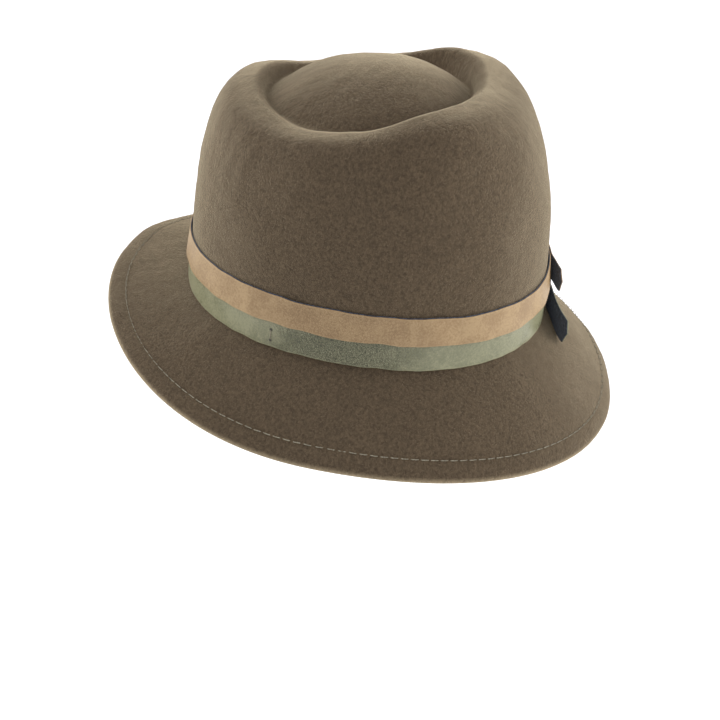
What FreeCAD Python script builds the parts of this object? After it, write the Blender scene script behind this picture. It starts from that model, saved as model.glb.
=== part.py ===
import FreeCAD, Part
import math
import os

import Sketcher
from FreeCAD import Placement, Rotation, Vector

# Felt trilby with two leatherette bands, in millimetres.
# Frame: +Z up, the wearer looks along -Y and the wearer's left is +X. The origin is the centre
# of the head opening, in the plane where the crown breaks into the brim.

os.makedirs("parts", exist_ok=True)
doc = FreeCAD.newDocument("felt_trilby")

# ---------------------------------------------------------------------------------------------
# Driving dimensions
# ---------------------------------------------------------------------------------------------

DIMENSIONS = {
    # head oval at the break between crown and brim, outside the felt
    "base_half_width": 86.0,
    "base_half_length": 101.8,
    "oval_exponent": 2.15,
    # crown: taper of the wall, fullness of the shoulder, oval of the ridge
    "taper_side": 0.08,
    "taper_front": 0.07,
    "taper_back": 0.04,
    "shoulder_side": 3.3,
    "shoulder_front": 2.6,
    "shoulder_back": 3.0,
    "ridge_half_width": 58.0,
    "ridge_front": 48.0,
    "ridge_back": 66.0,
    "ridge_lean": 0.9,
    # height of the ridge: mean, front over back, long over short axis, front corners
    "ridge_height": 118.5,
    "ridge_rise_front": 9.3,
    "ridge_rise_ends": 3.0,
    "ridge_rise_corners": 3.6,
    # groove inside the ridge and domed tip
    "groove_height": 107.0,
    "groove_rise_front": 4.0,
    "groove_rise_ends": 4.0,
    "groove_reach_side": 0.86,
    "groove_reach_ends": 0.92,
    "tip_height": 131.0,
    "tip_fullness": 2.2,
    # brim: horizontal width and drop on the side, at the back and at the front
    "brim_width_side": 42.7,
    "brim_width_back": 48.2,
    "brim_width_front": 52.5,
    "brim_width_quarter": -0.9,
    "brim_drop_side": 35.2,
    "brim_drop_back": 2.8,
    "brim_drop_front": 46.6,
    "brim_drop_quarter": 0.5,
    "brim_curl": 1.13,
    # felt and its folded edge
    "felt_thickness": 2.0,
    "fold_gap": 0.3,
    "fold_depth": 14.0,
    "wire_diameter": 1.0,
    "wire_room": 1.0,
    "sleeve_diameter": 1.6,
    "sleeve_length": 8.0,
    "sleeve_play": 0.15,
    "seam_inset": 11.0,
    "thread_diameter": 0.5,
    "thread_stand_off": 0.25,
    "stitch_length": 3.6,
    # strips round the crown
    "strip_clearance": 0.3,
    "strip_face": 0.6,
    "strip_backing": 0.35,
    "strip_layer_gap": 0.02,
    "strip_edge_line": 0.5,
    "olive_bottom": 1.8,
    "olive_top": 17.6,
    "tan_bottom": 16.9,
    "tan_top": 32.1,
    "tan_lift": 1.05,
    # lap: each strip starts under its own end (angles round the head, in degrees)
    "lap_start": -66.0,
    "lap_end": -82.4,
    "lap_approach": 32.0,
    "lap_rise": 1.25,
    "olive_lap_drop": 1.2,
    # tails: free ends of the strips past the lap
    "tail_gap": 0.5,
    "tail_point": 5.0,
    "tail_point_across": 6.2,
    "tail_tip_back": 2.4,
    "tail_clip": 0.8,
    "tan_tail_length": 15.6,
    "tan_tail_flare": 12.0,
    "tan_tail_droop": 7.0,
    "olive_tail_length": 34.5,
    "olive_tail_flare": 12.5,
    "olive_tail_droop": 14.5,
    # inside of the hat
    "sweatband_bottom": 1.5,
    "sweatband_top": 30.0,
    "sweatband_thickness": 0.7,
    "sweatband_gap": 0.3,
    "sweatband_seam_height": 3.5,
    "sweatband_stitch_length": 3.4,
    "bow_height": 11.0,
    "bow_gap": 1.1,
    "bow_half": 17.0,
    "bow_depth": 3.2,
    "bow_ribbon": 0.6,
    "bow_width": 9.0,
    "bow_curve": 72.0,
    "knot_half": 2.4,
    "knot_gap": 0.15,
    "label_width": 18.0,
    "label_height": 24.0,
    "label_thickness": 0.5,
    "label_angle": 66.0,
    "label_below_top": 1.5,
    "label_gap": 1.8,
}

sheet = doc.addObject("Spreadsheet::Sheet", "Dimensions")
for row, (alias, value) in enumerate(DIMENSIONS.items(), start=1):
    sheet.set(f"A{row}", alias.replace("_", " "))
    sheet.set(f"B{row}", str(value))
    sheet.setAlias(f"B{row}", alias)
doc.recompute()


def size(alias):
    return float(getattr(sheet, alias))


# ---------------------------------------------------------------------------------------------
# Shape of the hat: every surface is a function of the angle round the head
# (0 = wearer's left, 90 = back, -90 = front)
# ---------------------------------------------------------------------------------------------

NUDGE = 0.004
STATIONS_AROUND = 72
STEP = 2 * math.pi / STATIONS_AROUND
AROUND = [i * STEP for i in range(STATIONS_AROUND)]


def by_side(angle, side, back, front):
    """A size that differs on the side, at the back and at the front of the hat."""
    c, s = math.cos(angle), math.sin(angle)
    return side * c * c + (back if s > 0 else front) * s * s


def oval_direction(angle):
    power = 2 / size("oval_exponent")
    c, s = math.cos(angle), math.sin(angle)
    return math.copysign(abs(c) ** power, c), math.copysign(abs(s) ** power, s)


def outward(angle):
    """Horizontal unit normal of the head oval."""
    x = math.cos(angle) / size("base_half_width")
    y = math.sin(angle) / size("base_half_length")
    return Vector(x, y, 0).normalize()


def ridge_height(angle):
    return (size("ridge_height")
            - size("ridge_rise_front") * math.sin(angle)
            - size("ridge_rise_ends") * math.cos(2 * angle)
            - size("ridge_rise_corners") * math.sin(3 * angle))


def wall_point(angle, rise):
    """Outside of the crown wall: rise runs from 0 at the break to 1 on top of the ridge."""
    cx, cy = oval_direction(angle)
    fullness = by_side(angle, size("shoulder_side"), size("shoulder_back"), size("shoulder_front"))
    taper_y = size("taper_back") if cy > 0 else size("taper_front")
    ridge_y = size("ridge_back") if cy > 0 else size("ridge_front")
    share = max(0.0, 1 - rise ** fullness) ** (1 / fullness)
    x = size("base_half_width") * (1 - size("taper_side") * rise) * share
    y = size("base_half_length") * (1 - taper_y * rise) * share
    x += size("ridge_half_width") * (1 - share)
    y += ridge_y * (1 - share)
    return Vector(x * cx + size("ridge_lean") * rise, y * cy, rise * ridge_height(angle))


def tip_point(angle, reach):
    """Top of the crown: reach runs from 1 on the ridge, through the groove, to 0 at the tip."""
    crest = wall_point(angle, 1.0)
    s = math.sin(angle)
    groove = by_side(angle, size("groove_reach_side"), size("groove_reach_ends"),
                     size("groove_reach_ends"))
    low = (size("groove_height") - size("groove_rise_front") * s
           + size("groove_rise_ends") * s * s)
    if reach > groove:
        way = (1 - reach) / (1 - groove)
        z = crest.z - (crest.z - low) * way * way * (3 - 2 * way)
    else:
        z = low + (size("tip_height") - low) * (1 - (reach / groove) ** size("tip_fullness"))
    return Vector(crest.x * reach, crest.y * reach, z)


def brim_size(angle):
    """Horizontal width and drop of the brim at an angle."""
    normal = outward(angle)
    quarter = math.cos(4 * angle)
    back, front = max(0.0, normal.y) ** 2, max(0.0, -normal.y) ** 2
    side = normal.x ** 2
    width = (size("brim_width_side") * side + size("brim_width_back") * back
             + size("brim_width_front") * front + size("brim_width_quarter") * quarter)
    drop = (size("brim_drop_side") * side + size("brim_drop_back") * back
            + size("brim_drop_front") * front + size("brim_drop_quarter") * quarter)
    return width, drop


def brim_point(angle, run):
    """Top of the brim: run goes from 0 at the break to 1 at the outer edge."""
    cx, cy = oval_direction(angle)
    width, drop = brim_size(angle)
    base = Vector(size("base_half_width") * cx, size("base_half_length") * cy, 0)
    return base + outward(angle) * (width * run) - Vector(0, 0, drop * run ** size("brim_curl"))


def surface_point(angle, station):
    """Outside of the felt: station 0 brim edge, 1 break, 2 ridge, 3 middle of the tip."""
    if station < 1:
        return brim_point(angle, 1 - station)
    if station < 2:
        return wall_point(angle, station - 1)
    return tip_point(angle, 3 - station)


def felt_point(angle, station, depth):
    """Point under the outside of the felt, measured square to it."""
    above, below = station + NUDGE, max(0.0, station - NUDGE)
    along = surface_point(angle, above) - surface_point(angle, below)
    across = surface_point(angle + NUDGE, station) - surface_point(angle - NUDGE, station)
    return surface_point(angle, station) - across.cross(along).normalize() * depth


# ---------------------------------------------------------------------------------------------
# Solids from rings of control points
# ---------------------------------------------------------------------------------------------

def knots(count, degree, periodic):
    if periodic:
        return [float(i) for i in range(count + 1)], [1] * (count + 1)
    inner = count - degree - 1
    return [float(i) for i in range(inner + 2)], [degree + 1] + [1] * inner + [degree + 1]


def skin(rows, around_closed, across_closed=False):
    """B-spline face whose control points are the rows, each row running round the hat."""
    degree_across = 3 if len(rows) > 3 else 1
    around_knots, around_mults = knots(len(rows[0]), 3, around_closed)
    across_knots, across_mults = knots(len(rows), degree_across, across_closed)
    columns = [[row[i] for row in rows] for i in range(len(rows[0]))]
    surface = Part.BSplineSurface()
    surface.buildFromPolesMultsKnots(columns, around_mults, across_mults, around_knots,
                                     across_knots, around_closed, across_closed, 3, degree_across)
    return surface


def solid_from(faces):
    shell = Part.makeShell(faces)
    if len(faces) > 1:
        shell.sewShape()
    solid = Part.makeSolid(shell)
    if solid.Volume < 0:
        solid.reverse()
    return solid


def ribbon(corners, angles, closed):
    """Strip round the crown. corners(angle) gives the four corners of its section."""
    sections = [corners(angle) for angle in angles]
    rows = [[section[k] for section in sections] for k in range(4)]
    faces = [skin([rows[k], rows[(k + 1) % 4]], closed).toShape() for k in range(4)]
    if not closed:
        for section in (sections[0], sections[-1]):
            near = Part.makeLine(section[0], section[1])
            far = Part.makeLine(section[3], section[2])
            faces.append(Part.makeRuledSurface(near, far))
    return solid_from(faces)


def tube(centres, radius, normals):
    """Closed ring of round section. normals gives two unit directions across each centre."""
    sides = 8
    spread = radius * 6 / (4 + 2 * math.cos(2 * math.pi / sides))
    rows = []
    for k in range(sides):
        c, s = math.cos(2 * math.pi * k / sides), math.sin(2 * math.pi * k / sides)
        rows.append([p + (a * c + b * s) * spread for p, (a, b) in zip(centres, normals)])
    return solid_from([skin(rows, True, True).toShape()])


def feature(label, shape):
    """Sub-part whose shape is set directly."""
    part = doc.addObject("Part::Feature", label)
    part.Label = label
    part.Shape = shape
    part.Placement = Placement()
    return part


# ---------------------------------------------------------------------------------------------
# Felt body: crown, brim and the edge folded under
# ---------------------------------------------------------------------------------------------

FOLD_RADIUS = size("felt_thickness") + size("wire_room")
WALL_RISES = [0.0, 0.025, 0.08, 0.16, 0.26, 0.37, 0.48, 0.58, 0.67, 0.75, 0.82, 0.88, 0.93,
              0.965, 0.985]
TIP_REACHES = [1.0, 0.975, 0.95, 0.925, 0.9, 0.875, 0.84, 0.8, 0.74, 0.66, 0.55, 0.42, 0.28,
               0.15, 0.05]
BRIM_SHARES = [0.04, 0.12, 0.25, 0.42, 0.6, 0.8]


def brim_length(angle):
    width, drop = brim_size(angle)
    return math.hypot(width, drop)


def brim_felt_point(angle, inset, depth):
    """Point of the brim, given by its distance from the outer edge and under the top."""
    return felt_point(angle, inset / brim_length(angle), depth)


def ring(point):
    return [point(angle) for angle in AROUND]


def level(row):
    """The same ring brought to one height, so that a flat cap closes it."""
    height = sum(point.z for point in row) / len(row)
    return [Vector(point.x, point.y, height) for point in row]


def felt_rows():
    """Rings from the outside of the tip, over the folded edge, to the inside of the tip."""
    thick = size("felt_thickness")
    fold = size("fold_depth")
    inner_edge = fold + 2 * thick
    rows = []

    def crown_and_brim(depth):
        crown = [ring(lambda a, r=reach: felt_point(a, 3 - r, depth))
                 for reach in reversed(TIP_REACHES)]
        crown += [ring(lambda a, r=rise: felt_point(a, 1 + r, depth))
                  for rise in reversed(WALL_RISES)]
        for share in BRIM_SHARES:
            crown.append(ring(lambda a, s=share: felt_point(
                a, 1 - s * (1 - inner_edge / brim_length(a)), depth)))
        return crown

    def edge(inset, depth):
        return ring(lambda a: brim_felt_point(a, inset, depth))

    rows += crown_and_brim(0.0)
    rows += [edge(inset, 0.0) for inset in (inner_edge, fold, 10, 7, 5)]
    for turn in range(0, 181, 30):
        c, s = math.cos(math.radians(turn)), math.sin(math.radians(turn))
        rows.append(edge(FOLD_RADIUS * (1 - s), FOLD_RADIUS * (1 - c)))
    under = 2 * thick + size("fold_gap")
    inside = thick + size("fold_gap")
    rows += [edge(inset, depth) for inset, depth in (
        (5.5, under + 1.0), (8.0, under + 0.2), (10.5, under), (fold - 0.8, under),
        (fold + 0.2, under - 0.2), (fold + 0.5, (under + inside) / 2), (fold + 0.2, inside + 0.15),
        (fold - 0.8, inside), (10.0, inside), (7.0, inside), (5.4, inside + 0.1))]
    room = size("wire_room") * 1.08
    for turn in range(60, -241, -50):
        c, s = math.cos(math.radians(turn)), math.sin(math.radians(turn))
        rows.append(edge(FOLD_RADIUS + room * s, FOLD_RADIUS + room * c))
    rows += [edge(inset, thick) for inset in (5.6, 8, 11, fold, inner_edge)]
    rows += reversed(crown_and_brim(thick))
    return [level(rows[0])] + rows[1:-1] + [level(rows[-1])]


PATCHES_AROUND, PATCHES_ACROSS = 12, 12


def cut_evenly(values, parts):
    """Some of the values, spread evenly over all of them, from the first to the last."""
    return [values[round(i * (len(values) - 1) / parts)] for i in range(parts + 1)]


def part_of_curve(curve, start, end):
    curve.segment(start, end)
    return curve.toShape()


def felt_solid():
    """The felt's one surface, cut along its knots into patches, and a flat cap at each end."""
    surface = skin(felt_rows(), True)
    around = cut_evenly(surface.getUKnots(), PATCHES_AROUND)
    across = cut_evenly(surface.getVKnots(), PATCHES_ACROSS)
    faces = []
    for left, right in zip(around, around[1:]):
        for low, high in zip(across, across[1:]):
            patch = surface.copy()
            patch.segment(left, right, low, high)
            faces.append(patch.toShape())
    for end in (across[0], across[-1]):
        faces.append(Part.Face(Part.Wire([
            part_of_curve(surface.vIso(end), left, right)
            for left, right in zip(around, around[1:])])))
    return solid_from(faces)


feature("felt_body", felt_solid())

# ---------------------------------------------------------------------------------------------
# Wire in the fold, its sleeve and the hem seam
# ---------------------------------------------------------------------------------------------


HEM_STEP = 0.01
HEM_STITCHES = 162


def hem_frame(angle, inset, depth):
    """Point in the brim with the directions along the hem, out to the edge and up."""
    centre = brim_felt_point(angle, inset, depth)
    along = brim_felt_point(angle + HEM_STEP, inset, depth) - centre
    out = brim_felt_point(angle, inset - size("thread_diameter"), depth) - centre
    up = out.cross(along).normalize() * -1
    return centre, along.normalize(), out.normalize(), up


wire_frames = [hem_frame(angle, FOLD_RADIUS, FOLD_RADIUS) for angle in AROUND]
wire_centres = [f[0] for f in wire_frames]
feature("brim_wire", tube(wire_centres, size("wire_diameter") / 2, [f[2:] for f in wire_frames]))

# the sleeve is a straight tube: it sits where the hem runs straightest, at the wearer's left
sleeve_at, sleeve_along = hem_frame(0.0, FOLD_RADIUS, FOLD_RADIUS)[:2]
sleeve = doc.addObject("Part::Cylinder", "sleeve_outside")
sleeve.setExpression("Radius", "Dimensions.sleeve_diameter / 2")
sleeve.setExpression("Height", "Dimensions.sleeve_length")
sleeve_bore = doc.addObject("Part::Cylinder", "sleeve_bore")
sleeve_bore.setExpression("Radius", "Dimensions.wire_diameter / 2 + Dimensions.sleeve_play")
sleeve_bore.setExpression("Height", "Dimensions.sleeve_length")
sleeve_cut = doc.addObject("Part::Cut", "brim_wire_sleeve")
sleeve_cut.Base = sleeve
sleeve_cut.Tool = sleeve_bore
sleeve_cut.Label = "brim_wire_sleeve"
sleeve_start = sleeve_at - sleeve_along * (size("sleeve_length") / 2)
sleeve_cut.Placement = Placement(sleeve_start, Rotation(Vector(0, 0, 1), sleeve_along))


def thread_row(angles, frame, length):
    """Short round threads, one per stitch, each lying along its own direction."""
    radius = size("thread_diameter") / 2
    threads = []
    for angle in angles:
        centre, along = frame(angle)
        threads.append(Part.makeCylinder(radius, length, centre - along * (length / 2), along))
    return Part.makeCompound(threads)


def evenly(count):
    return [2 * math.pi * i / count for i in range(count)]


half_thread = size("thread_diameter") / 2
clear_of_cloth = half_thread + size("thread_stand_off")
hem_depth = 2 * size("felt_thickness") + size("fold_gap")
for label, depth in (("hem_top_thread", -half_thread),
                     ("hem_bobbin_thread", hem_depth + clear_of_cloth)):
    feature(label, thread_row(
        evenly(HEM_STITCHES), lambda a, d=depth: hem_frame(a, size("seam_inset"), d)[:2],
        size("stitch_length")))

# ---------------------------------------------------------------------------------------------
# Strips round the crown
# ---------------------------------------------------------------------------------------------


def crown_point(angle, height, offset):
    """Point beside the crown wall at a height, moved out from the felt (in if negative)."""
    return wall_point(angle, height / ridge_height(angle)) + outward(angle) * offset


LAP_START = math.radians(size("lap_start"))
LAP_END = math.radians(size("lap_end"))
TURN = 2 * math.pi + LAP_START - LAP_END


def lap_share(travel):
    """How far the strip has climbed on to its own start, 0 to 1, after some angle of travel."""
    climb_end = 2 * math.pi
    climb_start = climb_end - math.radians(size("lap_approach"))
    way = min(1.0, max(0.0, (travel - climb_start) / (climb_end - climb_start)))
    return way * way * (3 - 2 * way)


def strip_corners(travel, bottom, top, lift_bottom, lift_top, thickness, lap_drop):
    """Section of a strip: two points on its inner side, two on its outer side."""
    angle = LAP_START - travel
    share = lap_share(travel)
    rise = size("lap_rise") * share
    low, high = bottom - lap_drop * share, top - lap_drop * share
    return [crown_point(angle, low, lift_bottom + rise),
            crown_point(angle, low, lift_bottom + rise + thickness),
            crown_point(angle, high, lift_top + rise + thickness),
            crown_point(angle, high, lift_top + rise)]


def strip(label, *section):
    """Strip that runs once round the crown and then over its own start as far as the tail."""
    steps = round(TURN / STEP)
    travels = [TURN * i / steps for i in range(steps + 1)]
    return feature(label, ribbon(lambda travel: strip_corners(travel, *section), travels, False))


clear = size("strip_clearance")
backing = size("strip_backing")
face = size("strip_face")
line = size("strip_edge_line")
lift = size("tan_lift")
face_lift = clear + backing + size("strip_layer_gap")
face_top_lift = face_lift + lift * line / (size("tan_top") - size("tan_bottom"))
olive_low, olive_high, olive_drop = size("olive_bottom"), size("olive_top"), size("olive_lap_drop")
tan_low, tan_high = size("tan_bottom"), size("tan_top")

strip("olive_band_backing", olive_low, olive_high, clear, clear, backing, olive_drop)
strip("olive_band_face", olive_low, olive_high - line, face_lift, face_lift, face, olive_drop)
strip("tan_band_backing", tan_low, tan_high, clear + lift, clear, backing, 0.0)
strip("tan_band_face", tan_low, tan_high - line, face_lift + lift, face_top_lift, face, 0.0)

# ---------------------------------------------------------------------------------------------
# Sketched pieces
# ---------------------------------------------------------------------------------------------


def closed_outline(sketch, corners):
    """Polygon through corners, each placed from the sketch origin by two sheet expressions."""
    count = len(corners)
    spots = [Vector(float(sheet.evalExpression(x)), float(sheet.evalExpression(y)), 0)
             for x, y in corners]
    first = sketch.GeometryCount
    for i in range(count):
        sketch.addGeometry(Part.LineSegment(spots[i], spots[(i + 1) % count]), False)
    for i in range(count):
        sketch.addConstraint(
            Sketcher.Constraint("Coincident", first + i, 2, first + (i + 1) % count, 1))
    for i, (expressions, spot) in enumerate(zip(corners, spots)):
        for kind, text, value, axis in (("DistanceX", expressions[0], spot.x, -2),
                                        ("DistanceY", expressions[1], spot.y, -1)):
            if abs(value) < 1e-9:
                sketch.addConstraint(Sketcher.Constraint("PointOnObject", first + i, 1, axis))
                continue
            index = sketch.addConstraint(
                Sketcher.Constraint(kind, -1, 1, first + i, 1, value))
            sketch.setExpression(f"Constraints[{index}]", text)


def padded_body(label, outlines, thickness, placement):
    """Body with one sketch of closed outlines, padded along its own +Z."""
    body = doc.addObject("PartDesign::Body", label)
    body.Label = label
    plane = next(f for f in body.Origin.OriginFeatures if f.Role == "XY_Plane")
    sketch = body.newObject("Sketcher::SketchObject", label + "_sketch")
    sketch.AttachmentSupport = [(plane, "")]
    sketch.MapMode = "FlatFace"
    for outline in outlines:
        closed_outline(sketch, outline)
    pad = body.newObject("PartDesign::Pad", label + "_pad")
    pad.Profile = sketch
    pad.setExpression("Length", thickness)
    body.Tip = pad
    body.Placement = placement
    return body


def axes_placement(origin, x_axis, y_axis):
    z_axis = x_axis.cross(y_axis)
    return Placement(origin, Rotation(x_axis, y_axis, z_axis, "ZXY"))


D = "Dimensions."

# tails: flat strip ends with a clipped point, past the lap on the wearer's right of the front
lap_side = Vector(outward(LAP_END).y, -outward(LAP_END).x, 0)
wall_backing = D + "strip_backing"
wall_face = D + "strip_face"


def tail_outline(length, width, skew):
    """Strip end: the root edge is skewed so that it runs along the end of the lap."""
    tip = f"{length} + {D}tail_tip_back"
    return [("0", "0"), (length, "0"),
            (f"{length} + {D}tail_point", D + "tail_point_across"),
            (tip, f"{width} - {D}tail_clip"), (f"{tip} - 2 * {D}tail_clip", width),
            (f"{width} * {skew:.4f}", width)]


def tail(name, width, low, high, lift_low, lift_high):
    """Backing and face of one tail, hinged on the outer edge of the lap's end."""
    length = f"{D}{name}_length"
    flare, droop = math.radians(size(name + "_flare")), math.radians(size(name + "_droop"))
    thickness = backing + size("strip_layer_gap") + face
    hinge = crown_point(LAP_END, high, lift_high + thickness) + lap_side * size("tail_gap")
    hinge_up = (crown_point(LAP_END, high, lift_high)
                - crown_point(LAP_END, low, lift_low)).normalize()
    along = lap_side * math.cos(flare) + outward(LAP_END) * math.sin(flare)
    along = along * math.cos(droop) - Vector(0, 0, math.sin(droop))
    normal = hinge_up.cross(along).normalize()
    down = normal.cross(along)
    skew = hinge_up.dot(along) / hinge_up.dot(down)
    root = hinge - normal * thickness
    face_root = hinge - normal * face
    padded_body(name + "_backing", [tail_outline(length, width, skew)], wall_backing,
                axes_placement(root, along, down))
    padded_body(name + "_face", [tail_outline(length, width, skew)], wall_face,
                axes_placement(face_root, along, down))
    print("hinge of", name, [round(v, 3) for v in hinge], [round(v, 4) for v in hinge_up])


rise = size("lap_rise")
tail("tan_tail", f"({D}tan_top - {D}tan_bottom)", tan_low, tan_high,
     clear + lift + rise, clear + rise)
tail("olive_tail", f"({D}olive_top - {D}olive_bottom)", olive_low - olive_drop,
     olive_high - olive_drop, clear + rise, clear + rise)


def tack(angle, low, high, offset):
    """One thread lying up the outer side of a strip."""
    start, end = crown_point(angle, low, offset), crown_point(angle, high, offset)
    return Part.makeCylinder(size("thread_diameter") / 2, (end - start).Length, start, end - start)


# thread tacks that hold each lap closed, and one small tack behind the wearer's right temple
TACK_LENGTH = 3.0
LAP_TACK_ANGLE = math.radians(-76.0)
TEMPLE_TACK_ANGLE = math.radians(161.0)
TEMPLE_TACK_SPAN = (5.9, 12.0)
TACK_CLEAR = half_thread + 0.07
on_olive = face_lift + face + TACK_CLEAR
on_tan = on_olive + lift
feature("lap_tack_stitches", Part.makeCompound([
    tack(LAP_TACK_ANGLE, height, height + TACK_LENGTH, offset + rise)
    for height, offset in ((3.2, on_olive), (10.6, on_olive), (19.0, on_tan), (26.6, on_tan))]))
feature("band_tack_stitch", tack(TEMPLE_TACK_ANGLE, *TEMPLE_TACK_SPAN, on_olive))

# ---------------------------------------------------------------------------------------------
# Inside: sweatband, its seam, bow and label
# ---------------------------------------------------------------------------------------------

SWEAT_STITCHES = 112
sweat_out = -(size("felt_thickness") + size("sweatband_gap"))
sweat_in = sweat_out - size("sweatband_thickness")


def sweatband_corners(angle):
    low, high = size("sweatband_bottom"), size("sweatband_top")
    return [crown_point(angle, low, sweat_in), crown_point(angle, low, sweat_out),
            crown_point(angle, high, sweat_out), crown_point(angle, high, sweat_in)]


feature("sweatband", ribbon(sweatband_corners, AROUND, True))


def sweat_seam(angle):
    height, offset = size("sweatband_seam_height"), sweat_in - clear_of_cloth
    centre = crown_point(angle, height, offset)
    return centre, (crown_point(angle + HEM_STEP, height, offset) - centre).normalize()


feature("sweatband_thread", thread_row(
    evenly(SWEAT_STITCHES), sweat_seam, size("sweatband_stitch_length")))

# bow: a flattened loop of ribbon that follows the sweatband, padded up; a knot wraps its middle
BACK = math.radians(90)
bow_low, bow_high = size("bow_height"), size("bow_height") + size("bow_width")
bow_at = crown_point(BACK, bow_low, sweat_in - size("bow_gap"))
bow_up = (crown_point(BACK, bow_high, 0.0) - crown_point(BACK, bow_low, 0.0)).normalize()
bow_x = Vector(-1, 0, 0)
bow_y = bow_up.cross(bow_x)
bow_half = D + "bow_half"
bow_depth = D + "bow_depth"
ribbon_thick = D + "bow_ribbon"


def bow_outline(half, near, far, corner):
    """Curved oblong with clipped ends, x along the sweatband, y into the hat."""
    def bend(x, y):
        return x, f"{y} + ({x}) * ({x}) / (2 * {D}bow_curve)"

    near_side = [f"{half} * {share}" for share in (-0.9, -0.6, -0.3, 0, 0.3, 0.6, 0.9)]
    outline = [bend(x, near) for x in near_side]
    outline += [bend(half, f"{near} + {corner}"), bend(half, f"{far} - {corner}")]
    outline += [bend(x, far) for x in reversed(near_side)]
    outline += [bend(f"{half} * -1", f"{far} - {corner}"),
                bend(f"{half} * -1", f"{near} + {corner}")]
    return outline


padded_body("sweatband_bow", [
    bow_outline(bow_half, "0", bow_depth, f"1.5 * {ribbon_thick}"),
    bow_outline(f"({bow_half} - {ribbon_thick})", ribbon_thick,
                f"({bow_depth} - {ribbon_thick})", ribbon_thick)],
    D + "bow_width", axes_placement(bow_at, bow_x, bow_y))


def knot_outline(margin, corner):
    """Clipped rectangle round the section of the bow, x into the hat, y up."""
    low = f"-({margin})"
    deep = f"({bow_depth} + {margin})"
    high = f"({D}bow_width + {margin})"
    return [(low, f"{low} + {corner}"), (f"{low} + {corner}", low), (f"{deep} - {corner}", low),
            (deep, f"{low} + {corner}"), (deep, f"{high} - {corner}"),
            (f"{deep} - {corner}", high), (f"{low} + {corner}", high), (low, f"{high} - {corner}")]


knot_place = axes_placement(bow_at - bow_x * size("knot_half"), bow_y, bow_up)
knot_gap = D + "knot_gap"
padded_body("sweatband_bow_knot", [knot_outline(f"{knot_gap} + {ribbon_thick}", f"2 * {knot_gap}"),
                                   knot_outline(knot_gap, f"{knot_gap} / 3")],
            D + "knot_half * 2", knot_place)

# care label: a plate that hangs from the upper edge of the sweatband, beside the bow
LABEL_ANGLE = math.radians(size("label_angle"))
label_normal = outward(LABEL_ANGLE) * -1
label_side = Vector(-label_normal.y, label_normal.x, 0)
label = doc.addObject("Part::Box", "care_label")
label.Label = "care_label"
label.setExpression("Length", D + "label_width")
label.setExpression("Width", D + "label_height")
label.setExpression("Height", D + "label_thickness")
label_hinge = crown_point(LABEL_ANGLE, size("sweatband_top") - size("label_below_top"),
                          sweat_in - size("label_gap"))
label_start = label_hinge - label_side * (size("label_width") / 2)
label.Placement = axes_placement(label_start, label_side, Vector(0, 0, -1))
print("hinge of care_label", [round(v, 3) for v in label_hinge],
      [round(-v, 4) for v in label_side])

# ---------------------------------------------------------------------------------------------
# Check and export
# ---------------------------------------------------------------------------------------------

NODES = [
    "felt_body", "brim_wire", "brim_wire_sleeve", "hem_top_thread", "hem_bobbin_thread",
    "olive_band_face", "olive_band_backing", "tan_band_face", "tan_band_backing",
    "tan_tail_face", "tan_tail_backing", "olive_tail_face", "olive_tail_backing",
    "lap_tack_stitches", "band_tack_stitch",
    "sweatband", "sweatband_thread", "sweatband_bow", "sweatband_bow_knot", "care_label",
]

doc.recompute()
for item in doc.Objects:
    if "Invalid" in item.State or "Error" in item.State:
        raise RuntimeError(f"{item.Label} did not recompute: {item.State}")

for node in NODES:
    item = doc.getObjectsByLabel(node)[0]
    shape = item.Shape
    if shape.isNull() or not shape.isValid() or not shape.Solids:
        raise RuntimeError(f"{node} has no valid solid")
    shape.exportStep(f"parts/{node}.step")
    box = shape.BoundBox
    print(f"{node:22s} {shape.Volume:10.1f} mm3  x {box.XMin:7.1f} {box.XMax:7.1f}  "
          f"y {box.YMin:7.1f} {box.YMax:7.1f}  z {box.ZMin:7.1f} {box.ZMax:7.1f}")
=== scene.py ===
import math

import bmesh
import bpy
import numpy as np
from mathutils import Matrix, Vector


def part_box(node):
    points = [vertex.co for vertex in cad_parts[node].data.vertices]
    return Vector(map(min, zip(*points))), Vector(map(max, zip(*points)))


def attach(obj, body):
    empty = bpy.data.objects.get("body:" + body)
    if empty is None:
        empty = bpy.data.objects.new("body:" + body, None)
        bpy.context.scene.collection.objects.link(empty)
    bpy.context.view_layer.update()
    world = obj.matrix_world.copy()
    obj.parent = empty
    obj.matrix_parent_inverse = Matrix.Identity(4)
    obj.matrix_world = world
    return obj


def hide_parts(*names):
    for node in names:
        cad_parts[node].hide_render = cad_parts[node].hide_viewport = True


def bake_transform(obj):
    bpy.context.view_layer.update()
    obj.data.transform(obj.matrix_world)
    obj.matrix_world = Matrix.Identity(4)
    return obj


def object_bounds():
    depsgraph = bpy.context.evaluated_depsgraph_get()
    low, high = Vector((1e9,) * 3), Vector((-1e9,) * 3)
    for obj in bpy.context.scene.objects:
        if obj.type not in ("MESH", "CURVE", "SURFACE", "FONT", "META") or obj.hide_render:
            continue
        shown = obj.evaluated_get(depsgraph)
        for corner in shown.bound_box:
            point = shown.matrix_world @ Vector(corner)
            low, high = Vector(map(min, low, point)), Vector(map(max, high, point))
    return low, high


# Felt trilby with two leatherette strips. Lengths in this script are millimetres in the row
# frame (+Z up, the wearer looks along -Y, +X is the wearer's left) and become metres in
# mesh_piece(). Angles run round the head: 0 is the wearer's left, 90 the back, -90 the front.

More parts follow.
